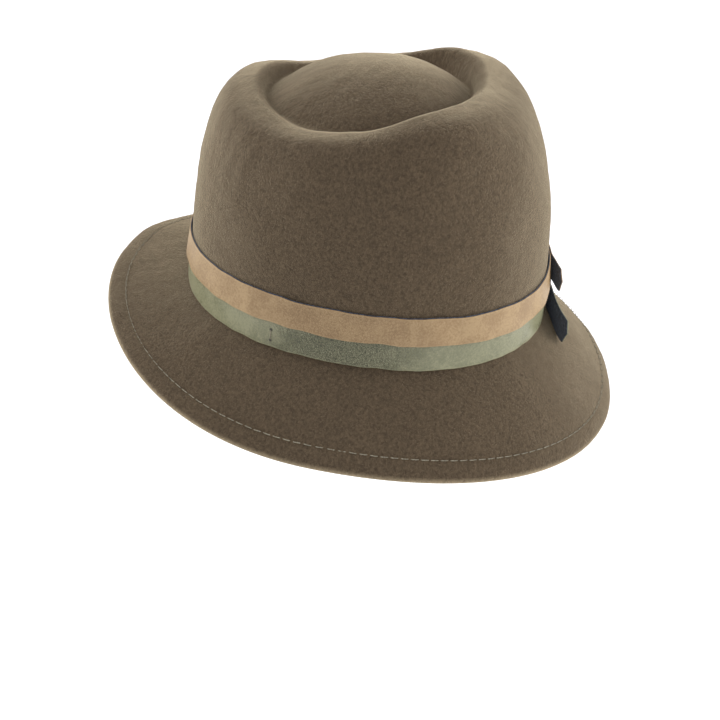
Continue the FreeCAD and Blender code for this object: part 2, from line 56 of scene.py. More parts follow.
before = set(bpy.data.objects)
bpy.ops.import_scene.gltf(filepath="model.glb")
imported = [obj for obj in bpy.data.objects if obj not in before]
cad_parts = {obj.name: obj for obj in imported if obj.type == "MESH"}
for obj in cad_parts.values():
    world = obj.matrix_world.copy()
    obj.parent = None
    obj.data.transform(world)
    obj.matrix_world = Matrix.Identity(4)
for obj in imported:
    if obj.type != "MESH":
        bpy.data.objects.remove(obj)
cad_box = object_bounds()
MM = 0.001
WELD = 1e-6
random = np.random.default_rng(11)


def node_box(node):
    low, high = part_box(node)
    return np.array(low) / MM, np.array(high) / MM


# ---- Sizes

# strips: (lower edge, upper edge, drop at the lap, clearance at the lower and at the upper edge)
STRIP_CLEARANCE = 0.3
STRIP_BACKING = 0.35
STRIP_FACE = 0.6
STRIP_LAYER_GAP = 0.02
STRIP_EDGE_LINE = 0.3
TAN_LIFT = 1.05
OLIVE_LAP_DROP = 1.2
OLIVE = (1.8, node_box("olive_band_backing")[1][2], OLIVE_LAP_DROP, STRIP_CLEARANCE,
         STRIP_CLEARANCE)
TAN = (*(node_box("tan_band_backing")[k][2] for k in (0, 1)), 0.0, STRIP_CLEARANCE + TAN_LIFT,
       STRIP_CLEARANCE)
FACE_START = STRIP_BACKING + STRIP_LAYER_GAP
STRIP_THICKNESS = FACE_START + STRIP_FACE
LAP_START, LAP_END = math.radians(-66.0), math.radians(-82.4)
LAP_APPROACH = math.radians(32.0)
LAP_RISE = 1.25
TURN = 2 * math.pi + LAP_START - LAP_END
TAIL_GAP = 0.5
TEMPLE_TACK_ANGLE, LAP_TACK_ANGLE = math.radians(161.0), math.radians(-76.0)
TEMPLE_TACK_SPAN = (5.9, 12.0)

# inside
SWEATBAND = (*(node_box("sweatband")[k][2] for k in (0, 1)), 0.3, 0.7)
THREAD = 0.5

# head oval at the break between crown and brim
OVAL_EXPONENT = 2.15
HALF_WIDTH = 86.0
HALF_LENGTH = 101.8

# crown: (side, back, front) where a size differs round the hat
TAPER_SIDE, TAPER_BACK, TAPER_FRONT = 0.08, 0.04, 0.07
SHOULDER = (3.3, 3.0, 2.6)
RIDGE_HALF_WIDTH, RIDGE_BACK, RIDGE_FRONT, RIDGE_LEAN = 58.0, 66.0, 48.0, 0.9
RIDGE_HEIGHT, RIDGE_RISE_FRONT, RIDGE_RISE_ENDS, RIDGE_RISE_CORNERS = 118.5, 9.3, 3.0, 3.6
GROOVE_HEIGHT, GROOVE_RISE_FRONT, GROOVE_RISE_ENDS = 107.0, 4.0, 4.0
GROOVE_REACH = (0.86, 0.92, 0.92)
TIP_HEIGHT, TIP_FULLNESS = 131.0, 2.2

# brim
BRIM_WIDTH, BRIM_WIDTH_QUARTER = (42.7, 48.2, 52.5), -0.9
BRIM_DROP, BRIM_DROP_QUARTER = (35.2, 2.8, 46.6), 0.5
BRIM_CURL = 1.13
FELT = 2.0
FOLD_GAP = 0.3
FOLD_DEPTH = 14.0
WIRE_ROOM = 1.0
SEAM_INSET = 11.0
SEAM_DEPTH = 0.35

# ---- Shape of the hat, the same formulas as the CAD part, for arrays of angles


def point(x, y, z):
    x, y, z = np.broadcast_arrays(x, y, z)
    return np.stack([x, y, z], axis=-1).astype(float)


def unit(vectors):
    return vectors / np.linalg.norm(vectors, axis=-1, keepdims=True)


def by_side(angle, sizes):
    side, back, front = sizes
    c, s = np.cos(angle), np.sin(angle)
    return side * c * c + np.where(s > 0, back, front) * s * s


def oval_direction(angle):
    power = 2 / OVAL_EXPONENT
    c, s = np.cos(angle), np.sin(angle)
    return np.sign(c) * np.abs(c) ** power, np.sign(s) * np.abs(s) ** power


def outward(angle):
    return unit(point(np.cos(angle) / HALF_WIDTH, np.sin(angle) / HALF_LENGTH, 0))


def ridge_height(angle):
    return (RIDGE_HEIGHT - RIDGE_RISE_FRONT * np.sin(angle) - RIDGE_RISE_ENDS * np.cos(2 * angle)
            - RIDGE_RISE_CORNERS * np.sin(3 * angle))


def wall_point(angle, rise):
    cx, cy = oval_direction(angle)
    fullness = by_side(angle, SHOULDER)
    taper_y = np.where(cy > 0, TAPER_BACK, TAPER_FRONT)
    ridge_y = np.where(cy > 0, RIDGE_BACK, RIDGE_FRONT)
    share = np.maximum(0.0, 1 - rise ** fullness) ** (1 / fullness)
    x = HALF_WIDTH * (1 - TAPER_SIDE * rise) * share + RIDGE_HALF_WIDTH * (1 - share)
    y = HALF_LENGTH * (1 - taper_y * rise) * share + ridge_y * (1 - share)
    return point(x * cx + RIDGE_LEAN * rise, y * cy, rise * ridge_height(angle))


def tip_point(angle, reach):
    crest = wall_point(angle, 1.0)
    s = np.sin(angle)
    groove = by_side(angle, GROOVE_REACH)
    low = GROOVE_HEIGHT - GROOVE_RISE_FRONT * s + GROOVE_RISE_ENDS * s * s
    way = np.clip((1 - reach) / (1 - groove), 0, 1)
    ridge = crest[..., 2] - (crest[..., 2] - low) * way * way * (3 - 2 * way)
    dome = low + (TIP_HEIGHT - low) * (1 - np.minimum(reach / groove, 1) ** TIP_FULLNESS)
    z = np.where(reach > groove, ridge, dome)
    return point(crest[..., 0] * reach, crest[..., 1] * reach, z)


def brim_size(angle):
    normal = outward(angle)
    quarter = np.cos(4 * angle)
    shares = (normal[..., 0] ** 2, np.maximum(0, normal[..., 1]) ** 2,
              np.maximum(0, -normal[..., 1]) ** 2)
    width = sum(w * share for w, share in zip(BRIM_WIDTH, shares)) + BRIM_WIDTH_QUARTER * quarter
    drop = sum(d * share for d, share in zip(BRIM_DROP, shares)) + BRIM_DROP_QUARTER * quarter
    return width, drop


def brim_point(angle, run):
    cx, cy = oval_direction(angle)
    width, drop = brim_size(angle)
    base = point(HALF_WIDTH * cx, HALF_LENGTH * cy, 0)
    out = outward(angle) * (width * run)[..., None]
    return base + out - point(0, 0, drop * run ** BRIM_CURL)


def surface_point(angle, station):
    """Outside of the felt: station 0 brim edge, 1 break, 2 ridge, 3 middle of the tip."""
    angle, station = np.broadcast_arrays(np.asarray(angle, float), np.asarray(station, float))
    brim = brim_point(angle, np.clip(1 - station, 0, 1))
    wall = wall_point(angle, np.clip(station - 1, 0, 1))
    tip = tip_point(angle, np.clip(3 - station, 0, 1))
    station = station[..., None]
    return np.where(station < 1, brim, np.where(station < 2, wall, tip))


def felt_normal(angle, station):
    nudge = 0.004
    station = np.asarray(station, float)
    along = (surface_point(angle, station + nudge)
             - surface_point(angle, np.maximum(0.0, station - nudge)))
    across = surface_point(angle + nudge, station) - surface_point(angle - nudge, station)
    return unit(np.cross(across, along))


def felt_point(angle, station, depth):
    return surface_point(angle, station) - felt_normal(angle, station) * depth


def brim_length(angle):
    return np.hypot(*brim_size(angle))


def brim_felt_point(angle, inset, depth):
    return felt_point(angle, inset / brim_length(angle), depth)


def crown_point(angle, height, offset):
    angle, height, offset = np.broadcast_arrays(angle, height, offset)
    return (wall_point(angle, height / ridge_height(angle))
            + outward(angle) * np.asarray(offset, float)[..., None])


# ---- Smooth unevenness of a blocked felt: a seeded sum of long waves


def wave_set(length, count=26):
    directions = unit(random.normal(size=(count, 3)))
    lengths = length * random.uniform(0.7, 1.5, count)
    return directions * (2 * math.pi / lengths)[:, None], random.uniform(0, 2 * math.pi, count)


def waves(points, wave_set_used):
    turns, phases = wave_set_used
    return np.sin(points @ turns.T + phases).sum(axis=-1) / math.sqrt(len(phases) / 2)


LONG_WAVES = wave_set(38.0)
SHORT_WAVES = wave_set(9.0)


def unevenness(points):
    """How far the felt stands off its ideal surface; nearly nothing behind the strips."""
    z = points[..., 2]
    behind_strips = np.exp(-((z - 17.0) / 19.0) ** 4) * (np.hypot(
        points[..., 0] / HALF_WIDTH, points[..., 1] / HALF_LENGTH) < 1.03)
    free = 1 - 0.85 * behind_strips
    return free * (0.2 * waves(points, LONG_WAVES) + 0.06 * waves(points, SHORT_WAVES))


# ---- Mesh building


def mesh_piece(name, vertices, faces, material, body="hat", replaces=(), uv=None,
               weld=False):
    """Smooth mesh riding on a body, if one is named. uv holds one pair per vertex."""
    mesh = bpy.data.meshes.new(name)
    mesh.from_pydata((np.asarray(vertices) * MM).tolist(), [], faces)
    mesh.validate()
    mesh.shade_smooth()
    if uv is not None:
        layer = mesh.uv_layers.new(name="strip")
        loops = np.empty(len(mesh.loops), np.int32)
        mesh.loops.foreach_get("vertex_index", loops)
        layer.data.foreach_set("uv", np.asarray(uv, np.float32)[loops].ravel())
    if weld:
        shape = bmesh.new()
        shape.from_mesh(mesh)
        bmesh.ops.remove_doubles(shape, verts=shape.verts, dist=WELD)
        bmesh.ops.recalc_face_normals(shape, faces=shape.faces)
        shape.to_mesh(mesh)
        shape.free()
    mesh.materials.append(material)
    piece = bpy.data.objects.new(name, mesh)
    bpy.context.scene.collection.objects.link(piece)
    if body:
        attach(piece, body)
    if replaces:
        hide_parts(*replaces)
    return piece


def grid_faces(rows, columns, close_rows=False, close_columns=False, start=0):
    """Quads of a grid stored row by row, seen from outside when rows turn left."""
    faces = []
    for r in range(rows if close_rows else rows - 1):
        for c in range(columns if close_columns else columns - 1):
            a, b = r * columns + c, r * columns + (c + 1) % columns
            d, e = (r + 1) % rows * columns + c, (r + 1) % rows * columns + (c + 1) % columns
            faces.append((start + a, start + b, start + e, start + d))
    return faces


def basis(knots, count, parameters):
    """Weights of cubic B-spline control points at the parameters."""
    t = np.asarray(parameters, float)
    weights = [((t >= knots[i]) & (t < knots[i + 1])).astype(float)
               for i in range(len(knots) - 1)]
    for degree in range(1, 4):
        raised = []
        for i in range(len(weights) - 1):
            left = knots[i + degree] - knots[i]
            right = knots[i + degree + 1] - knots[i + 1]
            value = 0.0
            if left > 0:
                value = value + (t - knots[i]) / left * weights[i]
            if right > 0:
                value = value + (knots[i + degree + 1] - t) / right * weights[i + 1]
            raised.append(value * np.ones_like(t))
        weights = raised
    return np.stack(weights[:count], axis=1)


def open_basis(count, parameters):
    inner = list(range(count - 2))
    return basis([0.0] * 3 + inner + [inner[-1]] * 3, count, parameters)


def closed_basis(count, parameters):
    knots = np.arange(-3, count + 4, dtype=float)
    weights = basis(knots, count + 3, parameters)
    weights[:, :3] += weights[:, count:]
    return weights[:, :count]


def rounded_section(width, thickness, radius, steps=4, across=6):
    """Closed outline of a strip's section: pairs of (across 0..width, out 0..thickness)."""
    outline = []
    corners = ((width - radius, radius, -90), (width - radius, thickness - radius, 0),
               (radius, thickness - radius, 90), (radius, radius, 180))
    for k, (x, y, first) in enumerate(corners):
        for step in range(steps + 1):
            turn = math.radians(first + 90 * step / steps)
            outline.append((x + radius * math.cos(turn), y + radius * math.sin(turn)))
        if k % 2 == 1:
            nxt = corners[(k + 1) % 4]
            for step in range(1, across):
                share = step / across
                start = (x + radius * math.cos(math.radians(first + 90)),
                         y + radius * math.sin(math.radians(first + 90)))
                end_turn = math.radians(nxt[2])
                end = (nxt[0] + radius * math.cos(end_turn), nxt[1] + radius * math.sin(end_turn))
                outline.append((start[0] + (end[0] - start[0]) * share,
                                start[1] + (end[1] - start[1]) * share))
    return np.array(outline)


def sweep_uv(length, section, width):
    """Texture place of each point of a sweep: metres along it, share of its width across it."""
    uv = np.broadcast_arrays(length[:, None], section[None, :, 0] / width)
    return np.stack(uv, axis=-1).reshape(-1, 2)


def path_length(path):
    """Metres from the start of a path in millimetres to each of its points."""
    steps = np.linalg.norm(np.diff(path, axis=0), axis=1)
    return np.concatenate([[0], np.cumsum(steps)]) * MM


def ring_turns(count):
    return 2 * math.pi * np.arange(count) / count


def signed_power(value, power):
    return np.sign(value) * np.abs(value) ** power


def two_layer_faces(rows, columns):
    """A grid, and the same grid turned over for the layer behind it."""
    faces = grid_faces(rows, columns)
    return faces + [tuple(rows * columns + k for k in reversed(face)) for face in faces]


def sweep_faces(stations, sides, closed, start=0):
    """Faces of a swept section, with end caps unless it closes on itself."""
    faces = grid_faces(stations, sides, close_rows=closed, close_columns=True, start=start)
    if not closed:
        faces.append(tuple(start + k for k in reversed(range(sides))))
        faces.append(tuple(start + (stations - 1) * sides + k for k in range(sides)))
    return faces


# ---- Materials


class Shader:
    """A Principled material built node by node."""

    def __init__(self, name):
        self.material = bpy.data.materials.new(name)
        self.material.use_nodes = True
        self.tree = self.material.node_tree
        self.surface = next(n for n in self.tree.nodes if n.type == "BSDF_PRINCIPLED")

    def node(self, kind, inputs=(), **settings):
        made = self.tree.nodes.new(kind)
        for key, value in settings.items():
            setattr(made, key, value)
        for key, value in dict(inputs).items():
            if isinstance(value, bpy.types.NodeSocket):
                self.tree.links.new(value, made.inputs[key])
            else:
                made.inputs[key].default_value = value
        return made

    def set(self, **inputs):
        for key, value in inputs.items():
            socket = self.surface.inputs[key.replace("_", " ")]
            if isinstance(value, bpy.types.NodeSocket):
                self.tree.links.new(value, socket)
            else:
                socket.default_value = value

    def place(self, stretch=(1, 1, 1), source="Object"):
        """Texture coordinates in metres, stretched along the axes."""
        if source == "UV":
            vector = self.node("ShaderNodeUVMap", uv_map="strip").outputs[0]
        else:
            vector = self.node("ShaderNodeTexCoord").outputs["Object"]
        return self.node("ShaderNodeMapping", {"Vector": vector, "Scale": stretch}).outputs[0]

    def noise(self, where, scale, detail=3.0, roughness=0.55, distortion=0.0):
        return self.node("ShaderNodeTexNoise", {
            "Vector": where, "Scale": scale, "Detail": detail, "Roughness": roughness,
            "Distortion": distortion}).outputs["Fac"]

    def cells(self, where, scale, feature="DISTANCE_TO_EDGE"):
        return self.node("ShaderNodeTexVoronoi", {"Vector": where, "Scale": scale},
                         feature=feature).outputs["Distance"]

    def math(self, operation, a, b=0.0, clamp=False):
        made = self.node("ShaderNodeMath", operation=operation, use_clamp=clamp)
        for socket, value in zip(made.inputs, (a, b)):
            if isinstance(value, bpy.types.NodeSocket):
                self.tree.links.new(value, socket)
            else:
                socket.default_value = value
        return made.outputs[0]

    def plus(self, a, b):
        return self.math("ADD", a, b)

    def times(self, a, b, clamp=False):
        return self.math("MULTIPLY", a, b, clamp)

    def spread(self, value, low, high, to_low=0.0, to_high=1.0):
        """Smooth step of a value from low..high to to_low..to_high."""
        return self.node("ShaderNodeMapRange", {
            "Value": value, "From Min": low, "From Max": high, "To Min": to_low,
            "To Max": to_high}, interpolation_type="SMOOTHSTEP").outputs[0]

    def mix(self, share, a, b, blend="MIX"):
        made = self.node("ShaderNodeMix", data_type="RGBA", blend_type=blend)
        for index, value in ((0, share), (6, a), (7, b)):
            if isinstance(value, bpy.types.NodeSocket):
                self.tree.links.new(value, made.inputs[index])
            else:
                made.inputs[index].default_value = value
        return made.outputs[2]

    def bump(self, height, distance, strength=1.0, normal=None):
        inputs = {"Height": height, "Distance": distance, "Strength": strength}
        if normal is not None:
            inputs["Normal"] = normal
        return self.node("ShaderNodeBump", inputs).outputs[0]


def rgb(red, green, blue):
    """Linear colour with alpha from display values of 0 to 255."""
    def linear(value):
        value = value / 255
        return value / 12.92 if value <= 0.04045 else ((value + 0.055) / 1.055) ** 2.4

    return linear(red), linear(green), linear(blue), 1.0


def felt_material():
    """Short wool fibres lying down the hat: fine streaks and specks, hardly any clouding."""
    shader = Shader("wool_felt")
    here = shader.place()
    combed = shader.place((1.0, 1.0, 0.45))
    cloud = shader.noise(here, 60, 2, 0.5)
    tuft = shader.noise(here, 620, 3, 0.6, 0.6)
    fibre = shader.noise(combed, 1500, 4, 0.68, 1.8)
    strand = shader.noise(combed, 2900, 2, 0.6, 2.4)
    nap = shader.plus(shader.times(tuft, 0.45),
                      shader.times(fibre, 0.55))
    colour = shader.mix(shader.spread(nap, 0.34, 0.66), rgb(64, 53, 41), rgb(102, 87, 68))
    colour = shader.mix(shader.spread(strand, 0.6, 0.75, 0, 0.3), colour, rgb(142, 126, 100))
    tone = shader.spread(cloud, 0.3, 0.7, 0.975, 1.025)
    colour = shader.mix(1.0, colour, tone, "MULTIPLY")
    # Painted highlight: the felt along the brim's edge, up to about 2.8 mm in, is painted lighter,
    # as its fuzz catches the light there.
    inset = shader.node("ShaderNodeSeparateXYZ", {"Vector": shader.place(source="UV")}).outputs["X"]
    edge_fuzz_highlight = shader.times(shader.spread(inset, 0.0002, 0.0028, 0.8, 0.0),
                         shader.spread(nap, 0.3, 0.6, 0.35, 1.0))
    colour = shader.mix(edge_fuzz_highlight, colour, rgb(158, 141, 112))
    shader.set(Base_Color=colour)
    low = shader.bump(tuft, 0.0007, 0.5)
    fine = shader.bump(fibre, 0.0004, 0.75, low)
    shader.set(Normal=shader.bump(strand, 0.0002, 0.5, fine))
    shader.set(Roughness=0.95, Specular_IOR_Level=0.15, Sheen_Weight=1.0, Sheen_Roughness=0.36,
               Sheen_Tint=(0.98, 0.82, 0.55, 1.0))
    return shader.material


def leatherette_material(name, pale, deep, crease, gloss, crackle, worn_at, tack=()):
    """Thin distressed leatherette: mottled colour, crackled grain, most of it round one place."""
    shader = Shader(name)
    here = shader.place()
    along = shader.place(source="UV")
    cloud = shader.noise(here, 70, 4, 0.6, 0.4)
    speckle = shader.noise(here, 900, 4, 0.7)
    grain = shader.cells(here, 1300)
    pores = shader.noise(here, 1500, 4, 0.7)
    reach = shader.plus(distance(shader, here, worn_at),
                        shader.times(cloud, 0.03))
    across = shader.node("ShaderNodeSeparateXYZ", {"Vector": along}).outputs["Y"]
    edge = shader.spread(shader.math("ABSOLUTE", shader.math("SUBTRACT", across, 0.5)), 0.42, 0.5)
    mottle = shader.plus(shader.times(cloud, 0.45),
                         shader.times(speckle, 0.55))
    colour = shader.mix(shader.spread(mottle, 0.4, 0.6), deep, pale)
    lines = shader.spread(grain, 0.0, 0.2, 1.0, 0.0)
    spots = shader.spread(pores, 0.48, 0.62)
    area = shader.spread(reach, 0.028, 0.07, 1.0, 0.14)
    creases = shader.times(shader.math("MAXIMUM", lines, spots), area, clamp=True)
    colour = shader.mix(shader.times(creases, crackle), colour, crease)
    rim = tuple(min(1.0, c * 1.2) for c in pale[:3]) + (1.0,)
    colour = shader.mix(shader.times(edge, 0.3), colour, rim)
    rough = shader.plus(shader.times(creases, 0.25),
                        shader.spread(cloud, 0.3, 0.7, gloss, gloss + 0.12))
    # Painted shade: a dark spot round each end of the temple tack stands in for the shade in its
    # needle hole.
    for spot in tack:
        off = distance(shader, here, spot)
        colour = shader.mix(shader.spread(off, 0.0006, 0.0012, 0.9, 0.0), colour, rgb(40, 37, 27))
    shader.set(Base_Color=colour, Roughness=rough)
    relief = shader.bump(shader.math("SUBTRACT", 1.0, creases), 0.00015, 0.5 * crackle + 0.15)
    shader.set(Normal=shader.bump(speckle, 0.00015, 0.25, relief), Specular_IOR_Level=0.5)
    return shader.material


def distance(shader, here, spot):
    return shader.node("ShaderNodeVectorMath", {0: here, 1: tuple(spot)},
                       operation="DISTANCE").outputs["Value"]


def backing_material():
    shader = Shader("knit_backing")
    here = shader.place()
    knit = shader.cells(here, 2200, "F1")
    lint = shader.noise(here, 900, 3)
    shader.set(Base_Color=shader.mix(shader.spread(lint, 0.3, 0.7), rgb(46, 47, 51),
                                     rgb(84, 90, 104)))
    shader.set(Normal=shader.bump(knit, 0.00025, 0.6), Roughness=0.85, Specular_IOR_Level=0.3,
               Sheen_Weight=0.3, Sheen_Roughness=0.4, Sheen_Tint=(0.6, 0.68, 0.8, 1.0))
    return shader.material


def ribbon_material(name, dark, light, rib):
    """Grosgrain: ribs across the ribbon. rib is their pitch in metres."""
    shader = Shader(name)
    along = shader.place(source="UV")
    here = shader.place()
    bands = shader.node("ShaderNodeTexWave", {
        "Vector": along, "Scale": math.pi / 10 / rib, "Distortion": 0.6, "Detail": 2.0},
        wave_type="BANDS", bands_direction="X").outputs["Fac"]
    slub = shader.noise(here, 160, 3)
    yarn = shader.noise(here, 1800, 2)
    # Painted shade: the colour follows the rib wave, darker in the grooves between the ribs and
    # lighter on them.
    share = shader.plus(shader.times(bands, 0.6),
                        shader.times(slub, 0.4))
    shader.set(Base_Color=shader.mix(shader.spread(share, 0.2, 0.8), dark, light))
    shader.set(Normal=shader.bump(yarn, 0.00008, 0.4, shader.bump(bands, 0.0003, 0.7)),
               Roughness=0.62, Specular_IOR_Level=0.4, Sheen_Weight=0.25, Sheen_Roughness=0.35)
    return shader.material


def thread_material(name, dark, light):
    shader = Shader(name)
    here = shader.place()
    yarn = shader.noise(here, 2400, 3)
    shader.set(Base_Color=shader.mix(shader.spread(yarn, 0.35, 0.65), dark, light))
    shader.set(Normal=shader.bump(yarn, 0.00006, 0.5), Roughness=0.6, Specular_IOR_Level=0.4,
               Sheen_Weight=0.2, Sheen_Roughness=0.4)
    return shader.material


def label_material():
    shader = Shader("label_satin")
    along = shader.place(source="UV")
    warp = shader.node("ShaderNodeTexWave", {
        "Vector": along, "Scale": math.pi / 10 / 0.00035, "Distortion": 0.4},
        wave_type="BANDS", bands_direction="X").outputs["Fac"]
    cloud = shader.noise(shader.place(), 120, 2)
    shader.set(Base_Color=shader.mix(shader.spread(cloud, 0.3, 0.7), rgb(214, 208, 194),
                                     rgb(232, 228, 216)))
    shader.set(Normal=shader.bump(warp, 0.00005, 0.4), Roughness=0.42, Sheen_Weight=0.3,
               Sheen_Roughness=0.3)
    return shader.material


def metal_material(name, dark, light, roughness):
    shader = Shader(name)
    scratches = shader.noise(shader.place((1.0, 1.0, 0.2)), 2200, 3)
    shader.set(Base_Color=shader.mix(shader.spread(scratches, 0.3, 0.7), dark, light))
    shader.set(Metallic=1.0, Roughness=shader.spread(scratches, 0.3, 0.7, roughness,
                                                     roughness + 0.15))
    return shader.material


# ---- Felt body

POLES_AROUND = 72
COLUMNS = 396
WALL_RISES = [0.0, 0.025, 0.08, 0.16, 0.26, 0.37, 0.48, 0.58, 0.67, 0.75, 0.82, 0.88, 0.93,
              0.965, 0.985]
TIP_REACHES = [1.0, 0.975, 0.95, 0.925, 0.9, 0.875, 0.84, 0.8, 0.74, 0.66, 0.55, 0.42, 0.28,
               0.15, 0.05]
BRIM_SHARES = [0.04, 0.12, 0.25, 0.42, 0.6, 0.8]
FAR_FROM_EDGE = 60.0
FOLD_EASE = 1.08
FINE_SPACING, COARSE_SPACING, FINE_INSET = 0.8, 1.9, 15.0
SEAM_WIDTH, HEM_PUFF, HEM_PUFF_INSET, HEM_PUFF_WIDTH, HEM_SHOWN = 0.9, 0.18, 6.5, 2.6, 20.0


def felt_poles():
    """Control rings of the felt. Each pole holds x, y, z, distance from the edge, facing."""
    angle = np.arange(POLES_AROUND) * (2 * math.pi / POLES_AROUND)
    fold_radius = FELT + WIRE_ROOM
    inner_edge = FOLD_DEPTH + 2 * FELT
    under = 2 * FELT + FOLD_GAP
    inside = FELT + FOLD_GAP
    rings = []

    def ring(points, inset, facing):
        extra = np.broadcast_to(np.asarray(inset, float), angle.shape)
        rings.append(np.column_stack([points, extra, np.full_like(angle, facing)]))

    def edge(inset, depth, facing):
        ring(brim_felt_point(angle, np.full_like(angle, inset), depth), inset, facing)

    def crown_and_brim(depth, facing, inwards):
        steps = [(3 - reach, None) for reach in reversed(TIP_REACHES)]
        steps += [(1 + rise, None) for rise in reversed(WALL_RISES)]
        steps += [(None, share) for share in BRIM_SHARES]
        for station, share in (reversed(steps) if inwards else steps):
            if share is None:
                ring(felt_point(angle, np.full_like(angle, station), depth), FAR_FROM_EDGE, facing)
                continue
            length = brim_length(angle)
            inset = length - share * (length - inner_edge)
            ring(felt_point(angle, inset / length, depth), inset, facing)

    crown_and_brim(0.0, 1, False)
    for inset in (inner_edge, FOLD_DEPTH, 10, 7, 5):
        edge(inset, 0.0, 1)
    for turn in range(0, 181, 30):
        c, s = math.cos(math.radians(turn)), math.sin(math.radians(turn))
        edge(fold_radius * (1 - s), fold_radius * (1 - c), c)
    for inset, depth, facing in (
            (5.5, under + 1.0, -1), (8.0, under + 0.2, -1), (10.5, under, -1),
            (FOLD_DEPTH - 0.8, under, -1), (FOLD_DEPTH + 0.2, under - 0.2, -0.5),
            (FOLD_DEPTH + 0.5, (under + inside) / 2, 0), (FOLD_DEPTH + 0.2, inside + 0.15, 0.5),
            (FOLD_DEPTH - 0.8, inside, 1), (10.0, inside, 1), (7.0, inside, 1),
            (5.4, inside + 0.1, 1)):
        edge(inset, depth, facing)
    room = WIRE_ROOM * FOLD_EASE
    for turn in range(60, -241, -50):
        c, s = math.cos(math.radians(turn)), math.sin(math.radians(turn))
        edge(fold_radius + room * s, fold_radius + room * c, -c)
    for inset in (5.6, 8, 11, FOLD_DEPTH, inner_edge):
        edge(inset, FELT, -1)
    crown_and_brim(FELT, -1, True)
    for level in (0, -1):
        rings[level][:, 2] = rings[level][:, 2].mean()
    return np.array(rings)


def across_parameters(poles):
    """Sample places across the skin, closer together where the seam and the folds are."""
    centres = poles.mean(axis=1)
    steps = np.linalg.norm(np.diff(poles[..., :3], axis=0), axis=2).mean(axis=1)
    samples = []
    for span in range(len(poles) - 3):
        inset = centres[span + 1:span + 3, 3].mean()
        spacing = FINE_SPACING if inset < FINE_INSET else COARSE_SPACING
        count = max(1, round(steps[span + 1] / spacing))
        samples += [span + k / count for k in range(count)]
    return np.array(samples + [len(poles) - 3 - 1e-6])


def felt_grid():
    """Points of the felt and their distance from its edge, on a grid of rings."""
    poles = felt_poles()
    across = open_basis(len(poles), across_parameters(poles))
    turns = np.arange(COLUMNS) * (POLES_AROUND / COLUMNS)
    # a periodic cubic starts two poles early
    around = closed_basis(POLES_AROUND, turns)
    around = np.roll(around, 1, axis=1)
    grid = np.einsum("rp,pac,ma->rmc", across, poles, around)
    points, inset, facing = grid[..., :3], grid[..., 3], grid[..., 4]
    down = np.gradient(points, axis=0)
    along = np.roll(points, -1, axis=1) - np.roll(points, 1, axis=1)
    normals = unit(np.cross(down, along))
    groove = SEAM_DEPTH * np.exp(-((inset - SEAM_INSET) / SEAM_WIDTH) ** 2)
    puff = HEM_PUFF * np.exp(-((inset - HEM_PUFF_INSET) / HEM_PUFF_WIDTH) ** 2)
    row = np.arange(len(points))[:, None]
    hem_step = np.argmax((np.abs(facing[:, 0]) < 0.05) & (inset[:, 0] > FOLD_DEPTH))
    shown = (row < hem_step) & (inset < HEM_SHOWN)
    shift = facing * unevenness(points) + (puff - groove) * shown
    outer = np.abs(facing) > 0.2
    return points + normals * np.where(outer, shift, 0)[..., None], inset


def build_felt(material):
    points, inset = felt_grid()
    rings = len(points)
    vertices = list(points.reshape(-1, 3))
    faces = [f[::-1] for f in grid_faces(rings, COLUMNS, close_columns=True)]
    for ring, flip in ((0, False), (rings - 1, True)):
        centre = len(vertices)
        vertices.append(points[ring].mean(axis=0))
        for c in range(COLUMNS):
            pair = (ring * COLUMNS + c, ring * COLUMNS + (c + 1) % COLUMNS)
            faces.append((centre,) + (pair if not flip else pair[::-1]))
    from_edge = np.append(inset.reshape(-1), [FAR_FROM_EDGE, FAR_FROM_EDGE]) * MM
    mesh_piece("felt", vertices, faces, material, replaces=["felt_body"],
               uv=np.stack([from_edge, from_edge], axis=-1))


# ---- Strips round the crown

BAND_STATIONS = 440
STRIP_WAVES = wave_set(24.0)
EDGE_WAVES = wave_set(13.0)
SAG_CENTRE, SAG_WIDTH = math.radians(215.0), math.radians(24.0)
FACE_CUT_BACK = 0.35
LOOSE, LOOSE_WAVE = 0.1, 0.12
GAPE, GAPE_AT_SAG, GAPE_WAVE, GAPE_FADE = 0.28, 0.85, 0.2, 1.6
EDGE_WAVE = 0.14
HELD_AT_START, HELD_AT_END = 0.3, 0.5


def smooth(share):
    share = np.clip(share, 0, 1)
    return share * share * (3 - 2 * share)


def lap_share(travel):
    return smooth((travel - 2 * math.pi + LAP_APPROACH) / LAP_APPROACH)


def sag_share(angle):
    """1 where the lower edge of the tan strip stands off most, falling to 0 round it."""
    turned = (angle - SAG_CENTRE + math.pi) % (2 * math.pi) - math.pi
    return np.exp(-(turned / SAG_WIDTH) ** 2)


def strip_point(strip, travel, up, out):
    """Point of a strip: angle travelled, distance above the lower edge, distance off its back."""
    low, high, drop, clear_low, clear_high = strip
    travel, up, out = np.broadcast_arrays(*(np.asarray(v, float) for v in (travel, up, out)))
    angle = LAP_START - travel
    share = lap_share(travel)
    way = up / (high - low)
    lift = clear_low + (clear_high - clear_low) * way + LAP_RISE * share
    height = low - drop * share + up
    base = crown_point(angle, height, lift)
    ends = smooth(travel / HELD_AT_START) * smooth((TURN - travel) / HELD_AT_END)
    loose = LOOSE + LOOSE_WAVE * waves(base, STRIP_WAVES)
    if clear_low > clear_high:
        gape = GAPE + GAPE_AT_SAG * sag_share(angle) + GAPE_WAVE * waves(base, STRIP_WAVES)
        loose = loose + np.maximum(gape, 0) * np.clip(1 - way, 0, 1) ** GAPE_FADE
    height = height + EDGE_WAVE * waves(base * (1, 1, 0.2), EDGE_WAVES) * ends
    return crown_point(angle, height, lift + np.maximum(loose, 0) * ends + out)


